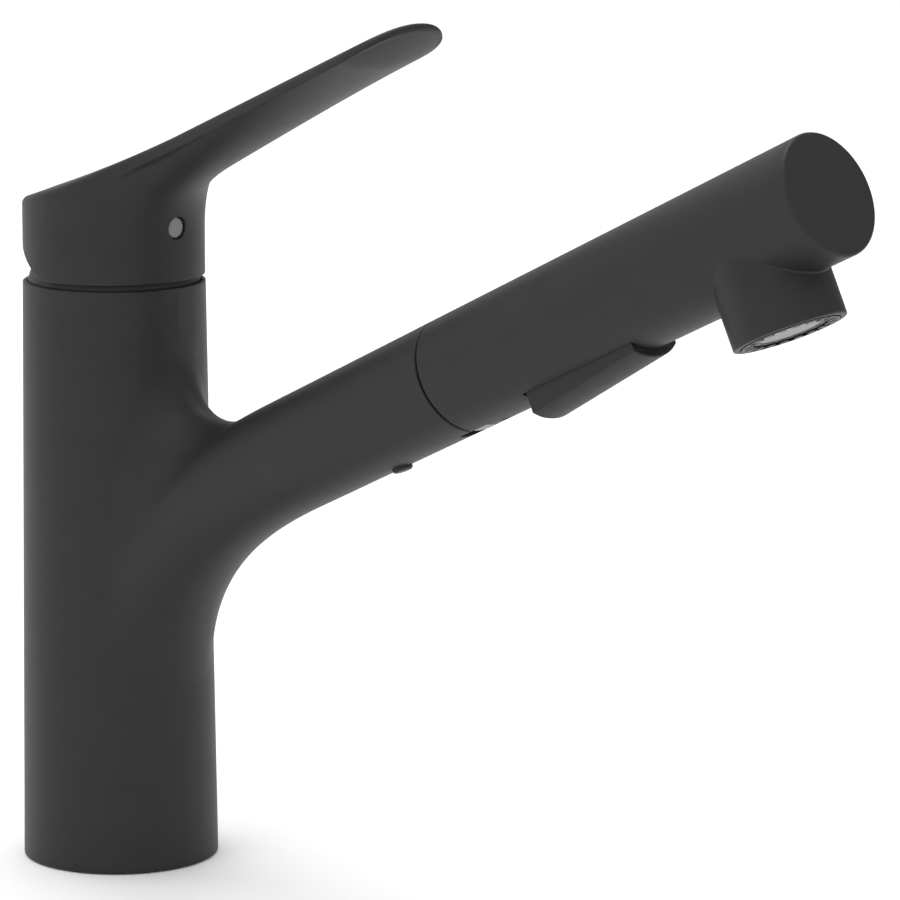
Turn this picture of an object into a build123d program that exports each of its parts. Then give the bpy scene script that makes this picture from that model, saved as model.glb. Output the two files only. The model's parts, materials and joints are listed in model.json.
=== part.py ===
import os
from math import atan, cos, pi, radians, sin, sqrt, tan

from build123d import *

os.makedirs("parts", exist_ok=True)

# ---------------------------------------------------------------- dimensions, mm
# The column stands on the deck plane z = 0, its axis is Z, the spout points to +X.

# column
COL_R0 = 25.0            # radius at the deck
COL_R1 = 23.12           # radius at the rim
RIM_Z = 148.9            # top of the rim
COL_Z0 = 0.15            # lower edge, clear of the deck
BORE_R = 20.4            # main bore
RIM_BORE_R = 22.1        # recess for the cover ring
RIM_BORE_Z = 144.8
FOOT_BORE_R = 23.2       # recess for the foot of the base flange
FOOT_BORE_Z = 2.7

# spout arm: a straight tapered tube, s runs along it from the column axis
ARM_ANGLE = 25.6         # degrees above level
ARM_Z = 81.0             # height at which its axis crosses the column axis
ARM_R = 13.994           # radius at s = 0
ARM_TAPER = 0.0028       # radius gained per mm of s
SEAM = 131.1             # end of the spout, start of the spray head
SEAM_GAP = 0.5
ARM_END = 253.3          # front face of the spray head
ARM_BORE = 11.0
DOCK_BORE = 12.6         # wider mouth that takes the guide sleeve
DOCK_S = 97.5
ROOT_R = 21.0            # radius of the spout's root, where it leaves the column
ROOT_X = 3.25            # axis of that root, upright inside the column
ROOT_DOWN = 42.0         # how far the bend reaches down the column
ROOT_OUT = 66.0          # how far the bend reaches out along the spout
ROOT_EASE = 3.4          # how the radius eases from the root to the spout
ROOT_W = 23.2            # half width of the root, across the spout
ROOT_W_EASE = 1.35
ROOT_FILLET = 16.0

# handle
PIVOT_Z = 144.2          # lift axis of the lever
CAP_R = 23.0
CAP_Z = 150.35           # lower edge of the cap
CUT_X = 0.5              # start of the relieved rear edge
CUT_R = 13.0
CUT_ANGLE = 31.0
CROWN = 0.00904          # fall of the top across its width, per mm squared
TOP_X = 35.0
TOP_Z = 190.2            # top of the handle at TOP_X
TOP_SLOPE = 0.4328
TOP_SWEEP = 390.0        # radius of the top behind TOP_X, seen from the side
UNDER_X = 57.0
UNDER_Z = 189.5          # underside of the lever at UNDER_X
UNDER_SLOPE = 0.513
LEVER_W0 = 12.67         # half width at the cap
LEVER_W1 = 15.73         # half width near the tip
LEVER_TIP = 105.0
TIP_A = 14.0             # length over which the plan of the lever rounds off
LEVER_BAND = 2.2         # straight part of the lever's edge
LEVER_FILLET = 12.0
CAVITY_R = 22.75
DOME_R = 22.35
INDEX_Z = 164.0
STEM_W = 8.0

# spray head
HEAD_BORE = 12.4
NECK_S = 229.8
NECK_R = 13.45
NECK_N = 24.6            # depth of the rim below the head's axis
NECK_BORE = 11.9
ROCK_S0 = 155.7
ROCK_S1 = 191.2
ROCK_W = 7.5
ROCK_PIN_S = 173.0
ROCK_PIN_N = -8.5
ROCK_FILLET = 0.4
SADDLE_FILLET = 0.5
PLUNGER_S = 188.0

# hose
HOSE_R = 5.5
HOSE_BORE = 3.5
HOSE_X = 9.0
HOSE_BEND = 38.0
HOSE_Z0 = 17.5
HOSE_S1 = 112.0

# base
FOOT_R = 22.9
HUB_R = 20.1
HUB_Z = 16.0
SHANK_R = 15.75

CCC = (Align.CENTER, Align.CENTER, Align.CENTER)
CCM = (Align.CENTER, Align.CENTER, Align.MIN)
ARM = Location((0, 0, ARM_Z), (0, -ARM_ANGLE, 0))


# ---------------------------------------------------------------- helpers
def arm_r(s):
    return ARM_R + ARM_TAPER * s


def col_r(z):
    return COL_R0 + (COL_R1 - COL_R0) * z / RIM_Z


def rod_z(x, y, z0, z1, r):
    return Pos(x, y, z0) * Cylinder(r, z1 - z0, align=CCM)


def tube_z(z0, z1, r_out, r_in, x=0, y=0):
    return rod_z(x, y, z0, z1, r_out) - rod_z(x, y, z0 - 1, z1 + 1, r_in)


def rod_x(x0, x1, r, y=0, z=0):
    return Plane(origin=(x0, y, z), x_dir=(0, 1, 0), z_dir=(1, 0, 0)) * Cylinder(r, x1 - x0, align=CCM)


def tube_x(x0, x1, r_out, r_in, y=0, z=0):
    return rod_x(x0, x1, r_out, y, z) - rod_x(x0 - 1, x1 + 1, r_in, y, z)


def rod_y(x, z, y0, y1, r):
    return Plane(origin=(x, y0, z), x_dir=(1, 0, 0), z_dir=(0, 1, 0)) * Cylinder(r, y1 - y0, align=CCM)


def cone_x(s0, s1, r0, r1):
    return Plane(origin=(s0, 0, 0), x_dir=(0, 1, 0), z_dir=(1, 0, 0)) * Cone(r0, r1, s1 - s0, align=CCM)


def box(x0, x1, y0, y1, z0, z1):
    return Pos((x0 + x1) / 2, (y0 + y1) / 2, (z0 + z1) / 2) * Box(x1 - x0, y1 - y0, z1 - z0, align=CCC)


def save(name, shape, keep_all=False):
    solids = shape.solids()
    if not keep_all and len(solids) != 1:
        print(name, "has", len(solids), "solids", [round(s.volume, 2) for s in solids])
    out = solids[0] if len(solids) == 1 else Compound(children=list(solids))
    out.label = name
    export_step(out, os.path.join("parts", name + ".step"))


# ---------------------------------------------------------------- base
base = rod_z(0, 0, 0, 2.0, FOOT_R) + rod_z(0, 0, 1.5, HUB_Z, HUB_R)
base -= rod_z(0, 0, -1, HUB_Z + 1, SHANK_R)
base -= tube_z(-1, 1.0, 21.0, 17.6)
base -= tube_z(12.0, 14.0, 22.0, 18.6)
STOP = 67.5
groove = Plane.XZ * (Pos(19.6, 8.0) * Rectangle(2.8, 5.0))
base -= Rot(0, 0, 180 - STOP) * revolve(groove, Axis.Z, 2 * STOP)
save("base_flange", base)
save("deck_gasket", tube_z(0.0, 0.95, 20.9, 17.7))
save("glide_ring", tube_z(2.0, 2.65, 22.8, 20.45))
save("hub_o_ring", tube_z(12.1, 13.9, 20.35, 18.65))


# ---------------------------------------------------------------- column and spout
def root_section(p, t, r, w):
    outline = Ellipse(w, r) if w > r + 1e-4 else Circle(r)
    return (Plane(origin=(p[0], 0, p[1]), x_dir=(0, 1, 0), z_dir=(t[0], 0, t[1])) * outline).faces()[0]


def spout_root():
    """A bend that leaves the front of the column upright and runs out along the spout."""
    a = radians(ARM_ANGLE)
    corner = (ROOT_X, ARM_Z + ROOT_X * tan(a))
    low = (ROOT_X, corner[1] - ROOT_DOWN)
    s_end = ROOT_X / cos(a) + ROOT_OUT
    far = (s_end * cos(a), ARM_Z + s_end * sin(a))
    sections = [root_section((low[0], low[1] - 8), (0, 1), ROOT_R, ROOT_W)]
    for i in range(11):
        t = i / 10
        p = [(1 - t) ** 2 * low[k] + 2 * t * (1 - t) * corner[k] + t * t * far[k] for k in (0, 1)]
        d = [(1 - t) * (corner[k] - low[k]) + t * (far[k] - corner[k]) for k in (0, 1)]
        r = arm_r(s_end) + (ROOT_R - arm_r(s_end)) * (1 - t * t) ** ROOT_EASE
        w = arm_r(s_end) + (ROOT_W - arm_r(s_end)) * (1 - t) ** ROOT_W_EASE
        sections.append(root_section(p, d, r, w))
    s = s_end + 6
    sections.append(root_section((s * cos(a), ARM_Z + s * sin(a)), (cos(a), sin(a)), arm_r(s), arm_r(s)))
    return loft(sections) + ARM * cone_x(s, SEAM, arm_r(s), arm_r(SEAM))


body = Pos(0, 0, COL_Z0) * Cone(col_r(COL_Z0), COL_R1, RIM_Z - COL_Z0, align=CCM)
body = body + spout_root()
seam_edges = [
    e for e in body.edges()
    if e.geom_type not in (GeomType.CIRCLE, GeomType.LINE) and e.center().X < 28 and e.length > 5
]
body = body.fillet(ROOT_FILLET, seam_edges)
mouth = body.edges().filter_by(GeomType.CIRCLE).sort_by(Axis.X)[-1]
body = body.fillet(0.35, [mouth])
rims = [e for e in body.edges().filter_by(GeomType.CIRCLE) if e.length > 140]
body = body.fillet(0.3, rims)
body -= rod_z(0, 0, -1, RIM_Z + 1, BORE_R)
body -= rod_z(0, 0, RIM_BORE_Z, RIM_Z + 1, RIM_BORE_R)
body -= rod_z(0, 0, -1, FOOT_BORE_Z, FOOT_BORE_R)
body -= ARM * rod_x(6, SEAM + 1, ARM_BORE)
body -= ARM * rod_x(DOCK_S, SEAM + 1, DOCK_BORE)
body -= ARM * box(127.2, SEAM + 1, -2.9, 2.9, -16, -11.5)
body -= ARM * rod_z(103.6, 0, -17, -11, 2.65)
body -= rod_x(-26, -18, 2.05, 0, 8.0)
save("column_body", body)

save("column_grub_screw", rod_x(-24.3, -18.6, 2.0, 0, 8.0)
     - Plane(origin=(-24.4, 0, 8.0), x_dir=(0, 1, 0), z_dir=(1, 0, 0))
     * extrude(RegularPolygon(1.1, 6), 2.2))

# ---------------------------------------------------------------- cartridge seat and cartridge
PORTS = ((-4.0, 8.5), (-4.0, -8.5), (-10.5, 0.0))
TOP_PORTS = ((-4.0, 7.0), (-4.0, -7.0), (-9.5, 0.0))
seat = rod_z(0, 0, 104, 116, 20.15)
for z in (106.0, 110.0):
    seat -= tube_z(z, z + 1.9, 21.0, 18.7)
for (x, y), (u, v) in zip(PORTS, TOP_PORTS):
    seat -= rod_z(x, y, 103, 113, 3.5)
    seat -= rod_z(u, v, 112, 117, 2.6)
seat -= rod_z(11.0, 0, 114, 117, 1.6)
save("cartridge_seat", seat)
save("seat_o_rings", tube_z(106.1, 107.8, 20.35, 18.75) + tube_z(110.1, 111.8, 20.35, 18.75), True)

cbase = rod_z(0, 0, 116.02, 120.5, 17.4) + rod_z(11.0, 0, 114.3, 117, 1.5)
for u, v in TOP_PORTS:
    cbase -= rod_z(u, v, 115, 121, 2.4)
    cbase -= rod_z(u, v, 115, 117.5, 3.3)
save("cartridge_base", cbase)
seals = Part() + [tube_z(116.05, 117.45, 3.25, 2.4, u, v) for u, v in TOP_PORTS]
save("cartridge_seals", seals, True)

fixed = rod_z(0, 0, 120.52, 124.0, 15.2)
for u, v in TOP_PORTS:
    fixed -= rod_z(u, v, 120, 125, 2.4)
save("fixed_disc", fixed)

housing = rod_z(0, 0, 120.52, 140, 17.4) + rod_z(0, 0, 139, 146, 14.4)
housing -= rod_z(0, 0, 120, 137.4, 15.4)
housing -= rod_z(0, 0, 130, 147, 11.9)
save("cartridge_housing", housing)

nut = tube_z(140.1, 144.4, 20.2, 14.8)
for a in (0, 90, 180, 270):
    nut -= Rot(0, 0, a) * box(16.8, 22, -1.6, 1.6, 142.4, 145)
save("cartridge_nut", nut)

cover = rod_z(0, 0, 145.0, 152.3, 21.8) & (Pos(0, 0, PIVOT_Z) * Sphere(DOME_R))
cover -= rod_z(0, 0, 144, 154, 15.2)
save("cover_ring", cover)

disc = rod_z(0, 0, 124.02, 127.0, 9.9) - (Pos(-6.0, 0, 123) * Box(5.0, 9.0, 3.2, align=CCM))
save("moving_disc", disc)
driver = rod_z(0, 0, 127.02, 134.0, 9.5) - box(-3.2, 3.2, -3.2, 3.2, 128.1, 135)
save("disc_driver", driver)

carrier = rod_z(0, 0, 135.0, 147.4, 11.6) + rod_z(0, 0, 135.0, 137.1, 13.5)
carrier -= box(-7, 7, -4.3, 4.3, 134, 148)
carrier -= rod_y(0, PIVOT_Z, -14, 14, 1.5)
save("stem_carrier", carrier)
save("stem_pin", rod_y(0, PIVOT_Z, -10.5, 10.5, 1.45))

stem = box(-STEM_W / 2, STEM_W / 2, -STEM_W / 2, STEM_W / 2, 140.0, 170.0)
stem = chamfer(stem.faces().sort_by(Axis.Z)[-1].edges(), 0.6)
stem += rod_z(0, 0, 131.2, 141, 2.0) + Pos(0, 0, 131.2) * Sphere(2.9)
stem -= rod_y(0, PIVOT_Z, -6, 6, 1.52)
save("cartridge_stem", stem)


# ---------------------------------------------------------------- handle
SLOPE = atan(TOP_SLOPE)
TOP_PLANE = Plane(origin=(TOP_X, 0, TOP_Z), x_dir=(0, 1, 0), z_dir=(cos(SLOPE), 0, sin(SLOPE)))


def top_z(x):
    return TOP_Z + TOP_SLOPE * (x - TOP_X)


def under_z(x):
    return UNDER_Z + UNDER_SLOPE * (x - UNDER_X)


def lever_w(x):
    return LEVER_W0 + (LEVER_W1 - LEVER_W0) * (x - 20) / 85.0


def crown_section():
    """Everything under the crowned top, in the plane square to the lever at TOP_X."""
    w, fall = 34.0, CROWN * cos(SLOPE) * 34.0 ** 2
    with BuildSketch(TOP_PLANE) as sk:
        with BuildLine():
            ThreePointArc((-w, -fall), (0, 0), (w, -fall))
            Polyline((w, -fall), (w, -78), (-w, -78), (-w, -fall))
        make_face()
    return sk.sketch.faces()[0]


def lever_section(x):
    w = lever_w(x)
    ze = top_z(x) - CROWN * w * w - LEVER_BAND
    with BuildSketch(Plane(origin=(x, 0, 0), x_dir=(0, 1, 0), z_dir=(1, 0, 0))) as sk:
        with BuildLine():
            ThreePointArc((-w, ze), (0, under_z(x)), (w, ze))
            Polyline((w, ze), (w, 260), (-w, 260), (-w, ze))
        make_face()
    return sk.sketch.faces()[0]


crown = crown_section()
sweep_axis = Axis((TOP_X - TOP_SWEEP * sin(SLOPE), 0, TOP_Z + TOP_SWEEP * cos(SLOPE)), (0, 1, 0))
under_top = extrude(crown, 110) + revolve(crown, sweep_axis, 14)
lever = loft([lever_section(6), lever_section(116)], ruled=True)
tip_r = lever_w(LEVER_TIP - TIP_A) + 0.02
with BuildSketch() as plan:
    with Locations((LEVER_TIP / 2 - TIP_A / 2, 0)):
        Rectangle(LEVER_TIP - TIP_A, 60)
    with Locations((LEVER_TIP - TIP_A, 0)):
        Ellipse(TIP_A, tip_r)
lever = lever & (Pos(0, 0, 120) * extrude(plan.sketch, 160))
handle = rod_z(0, 0, CAP_Z, 262, CAP_R) + lever
joint_edges = [
    e for e in handle.edges()
    if all(abs(sqrt(p.X ** 2 + p.Y ** 2) - CAP_R) < 0.05 for p in (e @ 0.1, e @ 0.5, e @ 0.9))
    and e.center().X > 5 and e.center().Z < 255 and e.length > 3
]
handle = handle.fillet(LEVER_FILLET, joint_edges)
handle = handle & under_top
with BuildSketch(Plane.XZ) as cut:
    with BuildLine():
        a = radians(CUT_ANGLE)
        p0 = (CUT_X, CAP_Z)
        p1 = (CUT_X - CUT_R * sin(a / 2), CAP_Z + CUT_R * (1 - cos(a / 2)))
        p2 = (CUT_X - CUT_R * sin(a), CAP_Z + CUT_R * (1 - cos(a)))
        p3 = (-40, p2[1] + (40 + p2[0]) * tan(a))
        ThreePointArc(p0, p1, p2)
        Polyline(p2, p3, (-40, CAP_Z - 5), (CUT_X, CAP_Z - 5), p0)
    make_face()
handle -= extrude(cut.sketch, 40, both=True)
handle -= Pos(0, 0, PIVOT_Z) * Sphere(CAVITY_R)
handle += rod_z(0, 0, 156, 168, 9.0)
handle -= box(-4.1, 4.1, -4.1, 4.1, 150, 170.3)
handle -= rod_x(2, 14, 2.5, 0, INDEX_Z)
handle -= rod_x(12, 30, 2.8, 0, INDEX_Z)
save("lever_handle", handle)
save("handle_set_screw", rod_x(4.15, 12.0, 2.45, 0, INDEX_Z)
     - Plane(origin=(9.5, 0, INDEX_Z), x_dir=(0, 1, 0), z_dir=(1, 0, 0)) * extrude(RegularPolygon(1.4, 6), 4))
save("index_plug", rod_x(17.5, 22.3, 2.5, 0, INDEX_Z))

# ---------------------------------------------------------------- spout mouth
sleeve = tube_x(98.0, 130.6, 12.5, 10.3) - rod_z(103.6, 0, -17, -9, 2.0)
save("spout_sleeve", ARM * sleeve)
plug = rod_z(103.6, 0, -15.2, -12.75, 2.55) + rod_z(103.6, 0, -13, -10.6, 1.85)
plug = fillet(plug.edges().sort_by(Axis.Z)[0], 0.7)
save("sleeve_screw", ARM * plug)

# hose: straight up the column, one bend, straight up the spout
th = radians(ARM_ANGLE)
corner_z = ARM_Z + HOSE_X * tan(th)
tl = HOSE_BEND * tan((pi / 2 - th) / 2)
a0 = (HOSE_X, 0, HOSE_Z0)
a1 = (HOSE_X, 0, corner_z - tl)
s_t = HOSE_X / cos(th) + tl
a2 = (s_t * cos(th), 0, ARM_Z + s_t * sin(th))
mid = (pi / 2 - th) / 2
a1m = (HOSE_X + HOSE_BEND * (1 - cos(mid)), 0, corner_z - tl + HOSE_BEND * sin(mid))
a3 = (HOSE_S1 * cos(th), 0, ARM_Z + HOSE_S1 * sin(th))
with BuildLine() as route:
    Line(a0, a1)
    ThreePointArc(a1, a1m, a2)
    Line(a2, a3)
ring = Pos(*a0) * (Circle(HOSE_R) - Circle(HOSE_BORE))
save("spray_hose", sweep(ring, path=route.wire()))

# ---------------------------------------------------------------- spray head, built along s, then tilted
HEAD0 = SEAM + SEAM_GAP
shell = cone_x(HEAD0, ARM_END, arm_r(HEAD0), arm_r(ARM_END))
shell = fillet(shell.edges().filter_by(GeomType.CIRCLE).sort_by(Axis.X)[-1], 0.8)
shell = fillet(shell.edges().filter_by(GeomType.CIRCLE).sort_by(Axis.X)[0], 0.35)
neck = rod_z(NECK_S, 0, -NECK_N, -5, NECK_R)
neck = fillet(neck.edges().filter_by(GeomType.CIRCLE).sort_by(Axis.Z)[0], 0.45)
shell = shell + neck
saddle = [
    e for e in shell.edges()
    if e.geom_type not in (GeomType.LINE,) and e.center().Z < -3 and abs(e.center().X - NECK_S) < 15
    and all(abs(sqrt((p.X - NECK_S) ** 2 + p.Y ** 2) - NECK_R) < 0.05 and p.Z > -NECK_N + 2
            for p in (e @ 0.1, e @ 0.5, e @ 0.9))
]
shell = shell.fillet(SADDLE_FILLET, saddle)
shell -= rod_x(HEAD0 - 1, 250.8, HEAD_BORE)
shell -= rod_z(NECK_S, 0, -NECK_N - 1, 0, NECK_BORE)
shell -= box(ROCK_S0 - 0.8, ROCK_S1 + 0.5, -ROCK_W - 0.3, ROCK_W + 0.3, -20, -5)
shell -= box(HEAD0 - 1, 136.5, -2.7, 2.7, -20, -8)
shell -= rod_z(141.5, 0, -20, -8, 1.65)
save("spray_shell", ARM * shell)

key = box(131.8, 136.3, -2.5, 2.5, -16, -12.75) & cone_x(126, 138, arm_r(126) - 0.1, arm_r(138) - 0.1)
key = key.fillet(0.5, [e for e in key.edges() if e.geom_type == GeomType.LINE and abs(e.tangent_at(0.5).Z) > 0.9])
key += box(127.7, 132.5, -2.0, 2.0, -13.3, -12.75)
save("docking_key", ARM * key)

tail = rod_x(112.5, 132.5, 10.0) + rod_x(HEAD0 + 0.1, 134.5, 12.15)
tail = chamfer(tail.edges().filter_by(GeomType.CIRCLE).sort_by(Axis.X)[0], 1.0)
tail -= rod_x(110, 136, 7.6)
save("docking_tail", ARM * tail)

ferrule = rod_x(104.0, 133.0, 7.0) + rod_x(132, 138.6, 6.0)
ferrule -= rod_x(103, HOSE_S1 + 0.1, 5.6)
ferrule -= rod_x(103, 140, 3.2)
for s in (106.0, 108.0, 110.0):
    ferrule -= tube_x(s, s + 0.8, 8.0, 6.6)
save("hose_ferrule", ARM * ferrule)
save("hose_seal", ARM * tube_x(138.65, 139.65, 6.0, 3.2))

core = rod_x(134.6, 151.0, 12.1) + rod_x(150, 186, 5.3)
core += box(170.8, 175.2, -7.4, 7.4, -5.0, 0.0)
for y0, y1 in ((6.2, 7.4), (-7.4, -6.2)):
    core += box(171.0, 175.0, y0, y1, ROCK_PIN_N, -4.0)
    core += rod_y(ROCK_PIN_S, ROCK_PIN_N, y0, y1, 2.0)
core += rod_x(180, 216, 9.0) + rod_x(215, 247, 12.1)
core += rod_z(NECK_S, 0, -18.9, 0, 11.6)
core -= rod_x(134, 149.0, 6.2)
core -= rod_x(148, 232, 3.2)
core -= rod_z(PLUNGER_S, 0, -6.5, 5.5, 4.2)
core -= rod_z(PLUNGER_S, 0, -12, -5, 1.9)
core -= rod_z(NECK_S, 0, -19.5, 0, 6.5)
core -= tube_z(-16.2, -14.4, 12.0, 10.2, NECK_S, 0)
core -= rod_y(ROCK_PIN_S, ROCK_PIN_N, -12, 12, 1.25)
core -= rod_z(141.5, 0, -15, -8.2, 1.15)
save("spray_core", ARM * core)
save("core_screw", ARM * (rod_z(141.5, 0, -14.2, -12.9, 1.55) + rod_z(141.5, 0, -13.5, -8.6, 1.05)
                          - box(139, 144, -0.25, 0.25, -15, -13.7)))
save("nozzle_o_ring", ARM * tube_z(-16.15, -14.45, 11.85, 10.25, NECK_S, 0))

valve = rod_x(139.7, 148.9, 6.1) - rod_x(139, 142.0, 3.0) - rod_x(141.5, 149.5, 4.8)
valve += tube_x(147.6, 148.9, 5.0, 3.6)
save("check_valve_body", ARM * valve)
poppet = rod_x(141.6, 143.0, 4.3) + rod_x(142.5, 146.4, 1.4)
poppet = chamfer(poppet.edges().filter_by(GeomType.CIRCLE).sort_by(Axis.X)[0], 0.6)
save("check_valve_poppet", ARM * poppet)
coil = Plane(origin=(143.4, 0, 0), x_dir=(0, 1, 0), z_dir=(1, 0, 0)) * Helix(1.25, 3.75, 2.6)
wire = Plane(origin=coil @ 0, z_dir=coil % 0) * Circle(0.3)
save("check_valve_spring", ARM * (sweep(wire, path=coil) & box(140, 147.55, -9, 9, -9, 9)))

save("rocker_pin", ARM * rod_y(ROCK_PIN_S, ROCK_PIN_N, -7.4, 7.4, 1.2))

# ---------------------------------------------------------------- spray selector
with BuildSketch(Plane.XZ) as side:
    with BuildLine():
        Polyline((ROCK_S0, -11.3), (ROCK_S1, -11.3), (ROCK_S1 + 0.1, -14.7), (ROCK_S1 + 1.3, -20),
                 (ROCK_S0 + 1.6, -24), (ROCK_S0, -18.4), (ROCK_S0, -11.3))
    make_face()
rocker = extrude(side.sketch, ROCK_W, both=True)
tilt = Plane(origin=(150, 0, -6.8), x_dir=(0, 1, 0), z_dir=(cos(radians(4.75)), 0, sin(radians(4.75))))
rocker = rocker & (tilt * Cylinder(13.2, 60, align=CCM))
low = [e for e in rocker.edges() if e.center().Z < -14]
rocker = rocker.fillet(ROCK_FILLET, low)
rocker += box(ROCK_S0 + 0.8, ROCK_S1 - 0.7, -5.9, 5.9, -11.8, -9.7)
rocker += rod_y(ROCK_PIN_S, ROCK_PIN_N, -5.9, 5.9, 2.2)
rocker -= rod_y(ROCK_PIN_S, ROCK_PIN_N, -9, 9, 1.26)
save("spray_rocker", ARM * rocker)

plunger = rod_z(PLUNGER_S, 0, -9.3, 2.0, 1.6) + rod_z(PLUNGER_S, 0, -1.5, 1.5, 3.85)
plunger -= tube_z(-0.7, 0.7, 5.0, 3.0, PLUNGER_S, 0)
save("diverter_plunger", ARM * plunger)
save("plunger_seal", ARM * tube_z(-0.65, 0.65, 4.12, 3.05, PLUNGER_S, 0))

# ---------------------------------------------------------------- nozzle
ring = tube_z(-NECK_N - 0.2, -19.0, 11.6, 8.65, NECK_S, 0)
for k in range(18):
    ring -= Pos(NECK_S, 0, 0) * Rot(0, 0, 20 * k + 10) * box(8.0, 10.9, -0.75, 0.75, -27, -22.0)
save("nozzle_ring", ARM * ring)
save("aerator_housing", ARM * (rod_z(NECK_S, 0, -24.4, -19.0, 8.5) - rod_z(NECK_S, 0, -23.4, -19.9, 6.6)
                               - rod_z(NECK_S, 0, -26, -23.4, 7.25) - rod_z(NECK_S, 0, -20.5, -17, 5.0)))
save("aerator_screen", ARM * rod_z(NECK_S, 0, -24.25, -23.45, 7.2))
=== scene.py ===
import json
from math import atan2, cos, pi, radians, sin, sqrt, tan

import bmesh
import bpy
import numpy as np
from mathutils import Matrix, Vector


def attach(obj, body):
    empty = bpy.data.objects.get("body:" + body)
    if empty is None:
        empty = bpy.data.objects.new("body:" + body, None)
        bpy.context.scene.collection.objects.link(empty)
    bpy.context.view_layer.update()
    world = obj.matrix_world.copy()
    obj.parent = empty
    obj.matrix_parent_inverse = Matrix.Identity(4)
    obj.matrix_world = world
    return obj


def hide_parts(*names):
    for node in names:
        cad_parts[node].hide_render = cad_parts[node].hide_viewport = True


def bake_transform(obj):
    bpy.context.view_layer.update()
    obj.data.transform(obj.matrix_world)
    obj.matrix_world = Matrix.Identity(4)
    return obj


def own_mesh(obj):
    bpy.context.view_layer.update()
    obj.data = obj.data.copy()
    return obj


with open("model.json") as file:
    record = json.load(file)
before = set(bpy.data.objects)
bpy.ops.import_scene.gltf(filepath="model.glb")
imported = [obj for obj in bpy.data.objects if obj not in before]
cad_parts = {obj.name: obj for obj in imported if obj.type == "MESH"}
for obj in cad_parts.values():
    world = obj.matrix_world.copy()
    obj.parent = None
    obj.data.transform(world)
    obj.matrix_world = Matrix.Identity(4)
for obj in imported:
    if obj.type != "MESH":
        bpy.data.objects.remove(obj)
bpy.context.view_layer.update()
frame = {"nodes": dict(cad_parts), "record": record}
nodes = frame["nodes"]

# ------------------------------------------------------------------ shared geometry, metres
TILT = radians(25.6)                       # slope of the spout and spray head
D = Vector((cos(TILT), 0.0, sin(TILT)))    # along the spout
N = Vector((-sin(TILT), 0.0, cos(TILT)))   # up, square to the spout
ARM0 = Vector((0.0, 0.0, 0.081))           # where the spout's axis meets the column's


# ------------------------------------------------------------------ materials
class Mat:
    """A Principled material with its colour, roughness and bump made from nodes."""

    def __init__(self, name):
        self.m = bpy.data.materials.new(name)
        self.m.use_nodes = True
        self.t = self.m.node_tree
        self.t.nodes.clear()
        out = self.t.nodes.new("ShaderNodeOutputMaterial")
        self.b = self.t.nodes.new("ShaderNodeBsdfPrincipled")
        self.t.links.new(self.b.outputs["BSDF"], out.inputs["Surface"])
        tc = self.t.nodes.new("ShaderNodeTexCoord")
        self.co = tc.outputs["Object"]

    def node(self, kind, **inputs):
        n = self.t.nodes.new(kind)
        for k, v in inputs.items():
            n.inputs[k].default_value = v
        return n

    def link(self, a, b):
        self.t.links.new(a, b)

    def noise(self, scale, detail=3.0, rough=0.55, co=None):
        n = self.node("ShaderNodeTexNoise", Scale=scale, Detail=detail, Roughness=rough)
        self.link(co or self.co, n.inputs["Vector"])
        return n.outputs["Fac"]

    def voronoi(self, scale, feature="F1", out="Distance", co=None):
        n = self.node("ShaderNodeTexVoronoi", Scale=scale)
        n.feature = feature
        self.link(co or self.co, n.inputs["Vector"])
        return n.outputs[out]

    def math(self, op, a, b=None):
        n = self.t.nodes.new("ShaderNodeMath")
        n.operation = op
        for i, v in enumerate((a, b)):
            if v is None:
                continue
            if isinstance(v, (int, float)):
                n.inputs[i].default_value = v
            else:
                self.link(v, n.inputs[i])
        return n.outputs[0]

    def ramp(self, fac, stops):
        n = self.t.nodes.new("ShaderNodeValToRGB")
        e = n.color_ramp.elements
        while len(e) < len(stops):
            e.new(0.5)
        for el, (p, c) in zip(e, stops):
            el.position = p
            el.color = (*c, 1.0)
        self.link(fac, n.inputs["Fac"])
        return n.outputs["Color"]

    def rng(self, fac, lo, hi, a=0.25, b=0.75):
        n = self.t.nodes.new("ShaderNodeMapRange")
        n.inputs["From Min"].default_value = a
        n.inputs["From Max"].default_value = b
        n.inputs["To Min"].default_value = lo
        n.inputs["To Max"].default_value = hi
        self.link(fac, n.inputs["Value"])
        return n.outputs["Result"]

    def bump(self, height, strength, distance, normal=None):
        n = self.t.nodes.new("ShaderNodeBump")
        n.inputs["Strength"].default_value = strength
        n.inputs["Distance"].default_value = distance
        self.link(height, n.inputs["Height"])
        if normal is not None:
            self.link(normal, n.inputs["Normal"])
        return n.outputs["Normal"]

    def set(self, **k):
        for name, v in k.items():
            s = self.b.inputs[name.replace("_", " ")]
            if hasattr(v, "is_linked"):
                self.link(v, s)
            else:
                s.default_value = v
        return self.m


def g(v, tint=(1, 1, 1)):
    return tuple(v * c for c in tint)


def matte(name, lo, hi, r_lo, r_hi, spec, grain=2400.0, depth=0.00002, strength=0.25, tint=(1, 1, 1), patch=160.0):
    """A matte surface: soft patches of tone and gloss over a fine grain."""
    k = Mat(name)
    cloud = k.noise(patch, 3.0)
    fine = k.noise(grain, 4.0, 0.6)
    tone = k.math("ADD", k.math("MULTIPLY", cloud, 0.7), k.math("MULTIPLY", fine, 0.3))
    col = k.ramp(tone, [(0.3, g(lo, tint)), (0.7, g(hi, tint))])
    k.set(Base_Color=col, Roughness=k.rng(tone, r_lo, r_hi), Normal=k.bump(fine, strength, depth))
    k.b.inputs["Specular IOR Level"].default_value = spec
    return k.m


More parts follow.
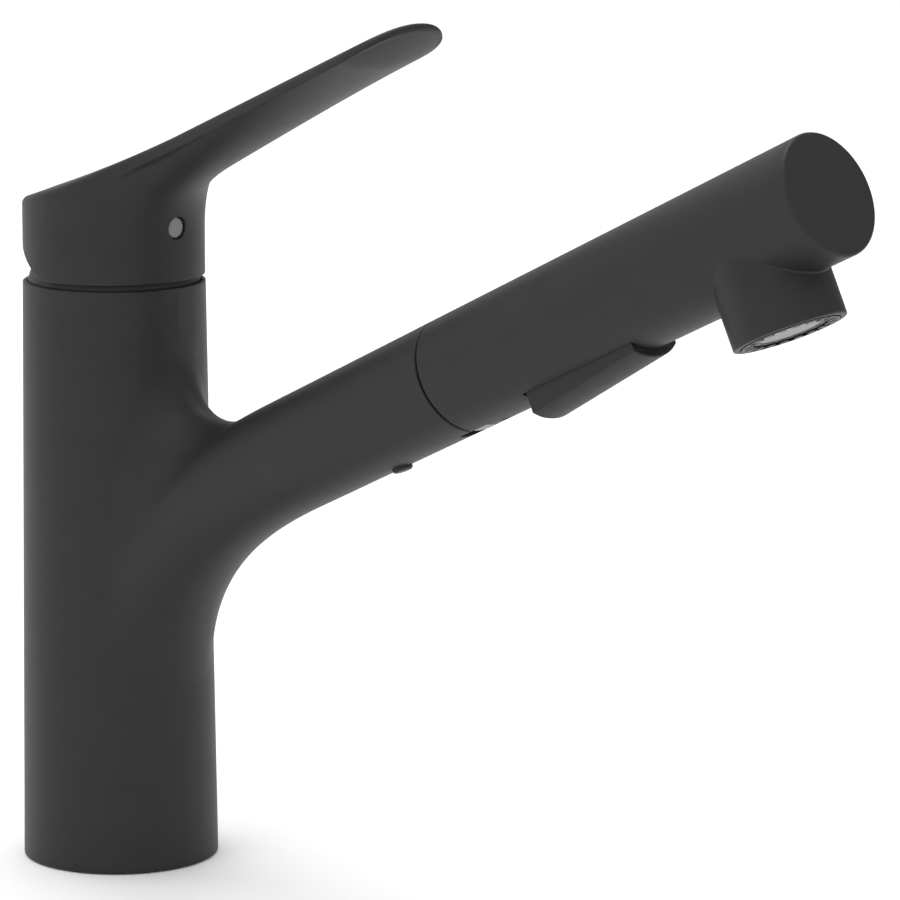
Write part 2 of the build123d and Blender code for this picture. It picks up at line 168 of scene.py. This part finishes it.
def turned(name, lo, hi, r_lo, r_hi, metallic=1.0):
    """Machined metal: fine uneven turning lines and a little mottling."""
    k = Mat(name)
    cloud = k.noise(220.0, 4.0)
    mapping = k.t.nodes.new("ShaderNodeMapping")
    mapping.inputs["Scale"].default_value = (90.0, 90.0, 9000.0)
    k.link(k.co, mapping.inputs["Vector"])
    lines = k.noise(1.0, 3.0, co=mapping.outputs["Vector"])
    tone = k.math("ADD", k.math("MULTIPLY", cloud, 0.6), k.math("MULTIPLY", lines, 0.4))
    col = k.ramp(tone, [(0.3, lo), (0.7, hi)])
    k.set(Base_Color=col, Roughness=k.rng(tone, r_lo, r_hi), Normal=k.bump(lines, 0.2, 0.00003))
    k.b.inputs["Metallic"].default_value = metallic
    return k.m


M = {}
M["black_coat"] = matte("black_coat", 0.0135, 0.0175, 0.47, 0.53, 0.30, grain=2600, depth=0.000012)
M["black_shell"] = matte("black_shell", 0.0135, 0.0175, 0.47, 0.53, 0.30, grain=2600, depth=0.000012)
M["black_plastic"] = matte("black_plastic", 0.012, 0.017, 0.48, 0.58, 0.30, grain=1900, depth=0.00002)
M["dark_plastic"] = matte("dark_plastic", 0.030, 0.040, 0.42, 0.52, 0.4, grain=1900, depth=0.00002)
M["light_plastic"] = matte("light_plastic", 0.21, 0.25, 0.42, 0.52, 0.4, grain=1900, depth=0.00002)
M["index_grey"] = matte("index_grey", 0.20, 0.23, 0.42, 0.52, 0.4, grain=3000, depth=0.00001)
M["white_plastic"] = matte("white_plastic", 0.27, 0.31, 0.35, 0.45, 0.45, grain=1900, depth=0.00002)
M["rubber"] = matte("rubber", 0.010, 0.018, 0.65, 0.78, 0.3, grain=1500, depth=0.00004)
M["ceramic"] = matte("ceramic", 0.66, 0.74, 0.16, 0.24, 0.5, grain=3500, depth=0.000008, tint=(1, 0.99, 0.96))
M["brass"] = turned("brass", (0.58, 0.40, 0.16), (0.74, 0.54, 0.25), 0.26, 0.40)
M["black_steel"] = matte("black_steel", 0.018, 0.028, 0.35, 0.45, 0.5, grain=1800)
M["steel"] = turned("steel", (0.46, 0.46, 0.45), (0.60, 0.60, 0.59), 0.24, 0.38)


def braid():
    """Woven nylon over the hose: two sets of strands crossing at a slant, laid out along the spout's axis."""
    k = Mat("hose_braid")
    sub = k.t.nodes.new("ShaderNodeVectorMath")
    sub.operation = "SUBTRACT"
    sub.inputs[1].default_value = ARM0
    k.link(k.co, sub.inputs[0])

    def along(axis):
        dot = k.t.nodes.new("ShaderNodeVectorMath")
        dot.operation = "DOT_PRODUCT"
        dot.inputs[1].default_value = axis
        k.link(sub.outputs["Vector"], dot.inputs[0])
        return dot.outputs["Value"]

    s, y, n = along(D), along((0, 1, 0)), along(N)
    ang = k.math("ARCTAN2", n, y)
    run = k.math("MULTIPLY", s, 2 * pi / 0.0032)
    turn = k.math("MULTIPLY", ang, 12.0)
    a = k.math("SINE", k.math("ADD", run, turn))
    b = k.math("SINE", k.math("SUBTRACT", run, turn))
    h = k.math("MAXIMUM", a, b)
    weave = k.rng(h, 0.0, 1.0, -0.6, 1.0)
    fine = k.noise(2600.0, 3.0)
    tone = k.math("ADD", k.math("MULTIPLY", weave, 0.75), k.math("MULTIPLY", fine, 0.25))
    col = k.ramp(tone, [(0.15, g(0.008)), (0.55, g(0.020)), (0.95, g(0.045))])
    k.set(Base_Color=col, Roughness=k.rng(tone, 0.62, 0.45, 0.1, 0.9), Normal=k.bump(weave, 0.6, 0.0003))
    k.b.inputs["Specular IOR Level"].default_value = 0.35
    return k.m


M["hose_braid"] = braid()


def nozzle_face_painted_shade():
    """Black plastic with painted shade in its notches: colour and specular level darken with depth below the spray
    face.
    """
    k = Mat("nozzle_face_painted_shade")
    sub = k.t.nodes.new("ShaderNodeVectorMath")
    sub.operation = "SUBTRACT"
    sub.inputs[1].default_value = ARM0
    k.link(k.co, sub.inputs[0])
    dot = k.t.nodes.new("ShaderNodeVectorMath")
    dot.operation = "DOT_PRODUCT"
    dot.inputs[1].default_value = N
    k.link(sub.outputs["Vector"], dot.inputs[0])
    # painted shade: deeper parts of the notches get a darker colour and less specular level, standing in for the
    # shade inside them
    deep = k.rng(dot.outputs["Value"], 0.0, 1.0, -0.0247, -0.0239)
    cloud = k.noise(160.0, 3.0)
    fine = k.noise(1900.0, 4.0, 0.6)
    mix = k.math("ADD", k.math("MULTIPLY", cloud, 0.7), k.math("MULTIPLY", fine, 0.3))
    tone = k.math("ADD", k.math("MULTIPLY", deep, 0.7), k.math("MULTIPLY", mix, 0.3))
    # painted shade: the last two stops blacken the deep notches
    col = k.ramp(tone, [(0.08, g(0.018)), (0.24, g(0.026)), (0.45, g(0.004)), (0.9, g(0.001))])
    k.set(Base_Color=col, Roughness=k.rng(mix, 0.42, 0.52), Normal=k.bump(fine, 0.25, 0.00002))
    k.set(Specular_IOR_Level=k.rng(deep, 0.35, 0.02, 0.0, 0.6))
    return k.m


M["nozzle_face_painted_shade"] = nozzle_face_painted_shade()

slot_of = {p["node"]: p["material_slot"] for p in frame["record"]["subparts"]} if isinstance(frame["record"].get("subparts"), list) else {}
for name, o in nodes.items():
    mat = M[slot_of.get(name, "black_coat")]
    o.data.materials.clear()
    o.data.materials.append(M["nozzle_face_painted_shade"] if name == "nozzle_ring" else mat)


# ------------------------------------------------------------------ mesh helpers
def mesh_object(name, verts, faces, mat, smooth=True):
    me = bpy.data.meshes.new(name)
    me.from_pydata([tuple(v) for v in verts], [], [tuple(f) for f in faces])
    me.validate()
    bm = bmesh.new()
    bm.from_mesh(me)
    bmesh.ops.recalc_face_normals(bm, faces=bm.faces[:])
    bm.to_mesh(me)
    bm.free()
    me.materials.append(mat)
    if smooth:
        me.polygons.foreach_set("use_smooth", [True] * len(me.polygons))
    o = bpy.data.objects.new(name, me)
    bpy.context.scene.collection.objects.link(o)
    return o


# ------------------------------------------------------------------ pull-out hose
# Up the column, one bend, up the spout to the crimped ferrule. The straight run in the spout
# is finely divided, because it is the length that draws out with the spray head.
def hose():
    r_out, r_in = 5.5, 3.5
    x0, bend, z0, s1 = 9.0, 38.0, 17.5, 112.0
    cz = 81.0 + x0 * tan(TILT)
    tl = bend * tan((pi / 2 - TILT) / 2)
    pts = []
    for i in range(25):
        z = z0 + (cz - tl - z0) * i / 24
        pts.append((Vector((x0, 0, z)), Vector((0, 0, 1))))
    for i in range(1, 33):
        a = (pi / 2 - TILT) * i / 32
        pts.append((Vector((x0 + bend * (1 - cos(a)), 0, cz - tl + bend * sin(a))), Vector((sin(a), 0, cos(a)))))
    s_t = x0 / cos(TILT) + tl
    for i in range(1, 241):
        s = s_t + (s1 - s_t) * i / 240
        pts.append((Vector((s * cos(TILT), 0, 81.0 + s * sin(TILT))), D.copy()))
    seg = 40
    verts, faces = [], []

    def ring(p, t, r):
        u = Vector((0, 1, 0))
        w = t.cross(u).normalized()
        return [(p + (u * cos(2 * pi * j / seg) + w * sin(2 * pi * j / seg)) * r) / 1000 for j in range(seg)]

    for r in (r_out, r_in):
        for p, t in pts:
            verts += ring(p, t, r)
    n = len(pts)
    for i in range(n - 1):
        for j in range(seg):
            k = (j + 1) % seg
            faces.append((i * seg + j, i * seg + k, (i + 1) * seg + k, (i + 1) * seg + j))
            o = n * seg
            faces.append((o + i * seg + j, o + (i + 1) * seg + j, o + (i + 1) * seg + k, o + i * seg + k))
    for i in (0, n - 1):
        for j in range(seg):
            k = (j + 1) % seg
            faces.append((i * seg + j, i * seg + k, n * seg + i * seg + k, n * seg + i * seg + j))
    o = mesh_object("pull_out_hose", verts, faces, M["hose_braid"])
    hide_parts("spray_hose")
    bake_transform(o)
    return o


hose()


def valve_spring():
    """The non-return valve's spring, given a mesh of its own on the spray head. The real spring shortens by the
    poppet's travel as the valve opens; nothing here shortens it.
    """
    src = nodes["check_valve_spring"]
    bpy.context.view_layer.update()
    o = bpy.data.objects.new("valve_spring", src.data.copy())
    bpy.context.scene.collection.objects.link(o)
    o.matrix_world = src.matrix_world.copy()
    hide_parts("check_valve_spring")
    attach(o, "spray_head")
    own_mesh(o)
    return o


valve_spring()

# ------------------------------------------------------------------ lever handle
# Cap and lever in one piece, as a distance field in mm: a cap with a sloping crowned top, a lever
# whose thin edge runs round the tip, an underside that swells towards the cap and flows into it.
CAP_R, CAP_Z = 23.0, 150.35
TOP_X, TOP_Z, TOP_SLOPE, TOP_BOW = 35.0, 190.37, 0.4304, 0.00227
CROWN_CAP, CROWN = 0.0057, 0.0103
TIP_L, TIP_A, TIP_N = 104.86, 11.6, 2.5
WIDTH = (0.036, 11.95)    # half-width along the lever
FLARE = 6.0
EDGE, EDGE_RATE = 2.33, 0.0109
DEEP, DEEP_1, DEEP_2, DEEP_X = 5.4, 0.070, 0.0001, 88.0
FULL, NEAR, NEAR_L = 1.3, 60.0, 34.0
ROOT_K, PLAN_K = 17.0, 12.0
TOP_ROUND = 1.4


def top_height(x, y):
    c = CROWN + (CROWN_CAP - CROWN) * np.clip((35.0 - x) / 40.0, 0.0, 1.0)
    return TOP_Z + TOP_SLOPE * (x - TOP_X) + 0.5 * TOP_BOW * np.minimum(x - TOP_X, 0.0) ** 2 - c * y * y


def flow(a, b, k):
    """The part in a or b, one running softly into the other over a length k."""
    h = np.maximum(k - np.abs(a - b), 0.0) / k
    return np.minimum(a, b) - h ** 3 * k / 6.0


def round_both(a, b, r):
    """The part in both a and b, its edge rounded to radius r."""
    return np.minimum(-r, np.maximum(a, b)) + np.hypot(np.maximum(r + a, 0), np.maximum(r + b, 0))


def round_either(a, b, r):
    """The part in a or b, the corner between them filled to radius r."""
    return np.maximum(r, np.minimum(a, b)) - np.hypot(np.maximum(r - a, 0), np.maximum(r - b, 0))


def handle_field(x, y, z):
    xc = TIP_L - TIP_A
    ay = np.abs(y)
    # edge of the lever seen from above
    w = np.polyval(WIDTH, np.clip(x, 18.0, xc))
    w_tip = np.polyval(WIDTH, xc)
    t = np.maximum(x - xc, 0.0) / TIP_A
    gx = TIP_N * t ** (TIP_N - 1) / TIP_A
    gy = TIP_N * (ay / w_tip) ** (TIP_N - 1) / w_tip
    g0 = t ** TIP_N + (ay / w_tip) ** TIP_N - 1.0
    side = ay - w - FLARE * np.clip((48.0 - x) / 28.0, 0.0, 1.0) ** 2
    wall = np.maximum(np.where(x > xc, g0 / np.maximum(np.hypot(gx, gy), 0.05), side), 5.0 - x)
    # body under the edge: full and deep at the cap, shallow at the tip
    top = top_height(x, y)
    near = np.clip((NEAR - x) / NEAR_L, 0.0, 1.0)
    back = DEEP_X - np.maximum(x, 12.0)
    deep = np.maximum(DEEP + DEEP_1 * back + DEEP_2 * np.maximum(back, 0.0) ** 2, 1.0)
    m = 1.0 + (FULL - 1.0) * near
    below = top - z - EDGE - EDGE_RATE * back
    u = np.maximum((below + 0.25 * near) / deep, 0.0)
    wb = w - 0.5 * near
    v2 = (ay / wb) ** 2 + t ** 2
    gu = m * np.maximum(u, 1e-3) ** (m - 1.0) / deep
    gv = 2.0 * np.sqrt(v2) / wb
    beam = (u ** m + v2 - 1.0) / np.maximum(np.sqrt(1.2 * gu * gu + gv * gv), 0.03)
    beam = np.maximum(beam, 8.0 - x)
    # the cap's front sweeps up into the body, its sides run out into the edge
    cap = np.hypot(x, y) - CAP_R
    plan = flow(cap, wall, PLAN_K)
    body = flow(cap, beam, ROOT_K - 6.0 * np.clip((177.0 - z) / 14.0, 0.0, 1.0))
    body = np.maximum(body, plan)
    thin = plan + 2.6 * np.clip((48.0 - x) / 26.0, 0.0, 1.0) ** 1.5
    edge = round_both(np.maximum(thin, 12.0 - x), below * 0.915, 0.6)
    out = round_either(body, edge, 0.3 + 1.5 * np.clip((50.0 - x) / 20.0, 0.0, 1.0))
    # crowned top
    d_top = (z - top) * 0.915
    out = round_both(out, d_top, TOP_ROUND)
    # lower edge, relieved at the back
    a = radians(31.0)
    xr = 0.5 - 13.0 * sin(a)
    curve = CAP_Z + 13.0 - np.sqrt(np.maximum(169.0 - (np.clip(x, xr, 0.5) - 0.5) ** 2, 0.0))
    low = np.where(x < xr, CAP_Z + 13.0 * (1 - cos(a)) + (xr - x) * tan(a), curve)
    lean = np.where(x < xr, cos(a), 1.0)
    out = round_both(out, (low - z) * lean, 0.3)
    # hollow over the cartridge, and the hole for the index plug
    out = round_both(out, 22.75 - np.sqrt(x * x + y * y + (z - 144.2) ** 2), 0.2)
    hole = np.maximum(np.hypot(y, z - 164.0) - 2.8, 17.3 - x)
    out = round_both(out, -hole, 0.25)
    return out


def field_mesh(field, lo, hi, step):
    """A closed quad mesh of a distance field: one point per crossed cell, drawn onto the surface."""
    ax = [np.arange(a, b + step, step, dtype=np.float64) for a, b in zip(lo, hi)]
    X, Y, Z = np.meshgrid(*ax, indexing="ij", sparse=True)
    f = np.concatenate([field(X[i:i + 24], Y, Z) for i in range(0, len(ax[0]), 24)], 0)
    ins = f < 0
    n = ins.astype(np.int8)
    c = sum(n[i:n.shape[0] - 1 + i, j:n.shape[1] - 1 + j, k:n.shape[2] - 1 + k]
            for i in (0, 1) for j in (0, 1) for k in (0, 1))
    cells = np.argwhere((c > 0) & (c < 8))
    index = np.full(c.shape, -1, np.int64)
    index[tuple(cells.T)] = np.arange(len(cells))
    acc = np.zeros((len(cells), 3))
    cnt = np.zeros(len(cells))
    for axis in range(3):
        o = [a for a in range(3) if a != axis]
        for u in (0, 1):
            for v in (0, 1):
                p = cells.copy()
                p[:, o[0]] += u
                p[:, o[1]] += v
                q = p.copy()
                q[:, axis] += 1
                fa, fb = f[tuple(p.T)], f[tuple(q.T)]
                m = (fa < 0) != (fb < 0)
                t = np.where(m, fa / np.where(m, fa - fb, 1.0), 0.0)
                pos = p.astype(float)
                pos[:, axis] += t
                acc += np.where(m[:, None], pos, 0.0)
                cnt += m
    pts = np.array(lo) + step * acc / cnt[:, None]
    faces = []
    for axis in range(3):
        o = [a for a in range(3) if a != axis]
        sl0 = [slice(1, -1)] * 3
        sl0[axis] = slice(0, -1)
        sl1 = [slice(1, -1)] * 3
        sl1[axis] = slice(1, None)
        a, b = ins[tuple(sl0)], ins[tuple(sl1)]
        e = np.argwhere(a != b)
        flip = a[tuple(e.T)]
        for k in o:
            e[:, k] += 1
        quad = []
        for du, dv in ((0, 0), (1, 0), (1, 1), (0, 1)):
            p = e.copy()
            p[:, o[0]] -= du
            p[:, o[1]] -= dv
            quad.append(index[tuple(p.T)])
        quad = np.stack(quad, 1)
        flip = flip if axis != 1 else ~flip
        quad[flip] = quad[flip][:, ::-1]
        faces.append(quad)
    faces = np.concatenate(faces)

    def grad(p, d=0.02):
        gr = np.zeros_like(p)
        for k in range(3):
            s = np.zeros(3)
            s[k] = d
            a, b = p + s, p - s
            gr[:, k] = (field(a[:, 0], a[:, 1], a[:, 2]) - field(b[:, 0], b[:, 1], b[:, 2])) / (2 * d)
        return gr

    for _ in range(5):
        gr = grad(pts)
        val = field(pts[:, 0], pts[:, 1], pts[:, 2])
        move = val / np.maximum((gr * gr).sum(1), 0.2)
        pts -= gr * np.clip(move, -step, step)[:, None]
    gr = grad(pts, 0.04)
    return pts, faces, gr / np.linalg.norm(gr, axis=1, keepdims=True)


def handle():
    pts, faces, nrm = field_mesh(handle_field, (-24.0, -24.0, 149.0), (113.0, 24.0, 225.0), 0.45)
    o = mesh_object("handle", pts / 1000, faces, M["black_coat"])
    o.data.normals_split_custom_set_from_vertices([tuple(n) for n in nrm])
    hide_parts("lever_handle")
    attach(o, "handle")
    return o


handle()

# ------------------------------------------------------------------ floor, light, camera
floor_mat = Mat("pale_floor")
cloud = floor_mat.noise(1.6, 3.0)
floor_mat.set(Base_Color=floor_mat.ramp(cloud, [(0.3, g(0.90)), (0.7, g(0.93))]),
              Roughness=floor_mat.rng(cloud, 0.78, 0.86))
floor_mat.b.inputs["Specular IOR Level"].default_value = 0.1
floor = mesh_object("floor", [(-6, -6, -0.0002), (6, -6, -0.0002), (6, 6, -0.0002), (-6, 6, -0.0002)], [(0, 1, 2, 3)], floor_mat.m)

world = bpy.data.worlds.new("studio")
bpy.context.scene.world = world
world.use_nodes = True
wt = world.node_tree
wt.nodes.clear()
wo = wt.nodes.new("ShaderNodeOutputWorld")
wb = wt.nodes.new("ShaderNodeBackground")
wc = wt.nodes.new("ShaderNodeTexCoord")


def toward(d, lo, hi):
    """How far a direction in the room lies towards d, 0 to 1."""
    dot = wt.nodes.new("ShaderNodeVectorMath")
    dot.operation = "DOT_PRODUCT"
    dot.inputs[1].default_value = Vector(d).normalized()
    wt.links.new(wc.outputs["Generated"], dot.inputs[0])
    r = wt.nodes.new("ShaderNodeMapRange")
    r.interpolation_type = "SMOOTHSTEP"
    r.inputs["From Min"].default_value = lo
    r.inputs["From Max"].default_value = hi
    wt.links.new(dot.outputs["Value"], r.inputs["Value"])
    return r.outputs["Result"]


def wmath(op, a, b):
    n = wt.nodes.new("ShaderNodeMath")
    n.operation = op
    for i, v in enumerate((a, b)):
        if isinstance(v, float):
            n.inputs[i].default_value = v
        else:
            wt.links.new(v, n.inputs[i])
    return n.outputs[0]


# a white room, a little darker behind on the right and, less so, higher up behind on the left
shade = wmath("MULTIPLY", toward((0.25, 0.96, 0.0), 0.50, 0.97), 0.58)
glow = wmath("MULTIPLY", toward((-0.62, 0.70, 0.35), 0.55, 0.97), -0.25)
wt.links.new(wmath("ADD", wmath("SUBTRACT", 0.95, shade), glow), wb.inputs["Strength"])
wb.inputs["Color"].default_value = (1, 1, 1, 1)
wt.links.new(wb.outputs["Background"], wo.inputs["Surface"])


def area(name, at, to, size, watts):
    li = bpy.data.lights.new(name, "AREA")
    li.shape = "DISK"
    li.size = size
    li.energy = watts
    o = bpy.data.objects.new(name, li)
    bpy.context.scene.collection.objects.link(o)
    o.location = at
    o.rotation_euler = (Vector(to) - Vector(at)).to_track_quat("-Z", "Y").to_euler()
    return o


area("key", (0.1, -1.6, 1.5), (0.08, 0, 0.1), 0.9, 4.0)
area("overhead", (-0.6, 0.4, 2.5), (-0.6, 0.4, 0.0), 2.0, 37.0)

cam = bpy.data.cameras.new("camera")
cam.sensor_width = 36.0
cam.sensor_fit = "HORIZONTAL"
cam.lens = 192.45
cam.clip_start = 0.05
cam.clip_end = 50.0
co = bpy.data.objects.new("camera", cam)
bpy.context.scene.collection.objects.link(co)
co.location = (0.87621, -0.83220, 0.32544)
co.rotation_euler = (Vector((0.05015, 0.07102, 0.10148)) - co.location).to_track_quat("-Z", "Y").to_euler()
bpy.context.scene.camera = co
bpy.context.scene.view_settings.view_transform = "Standard"
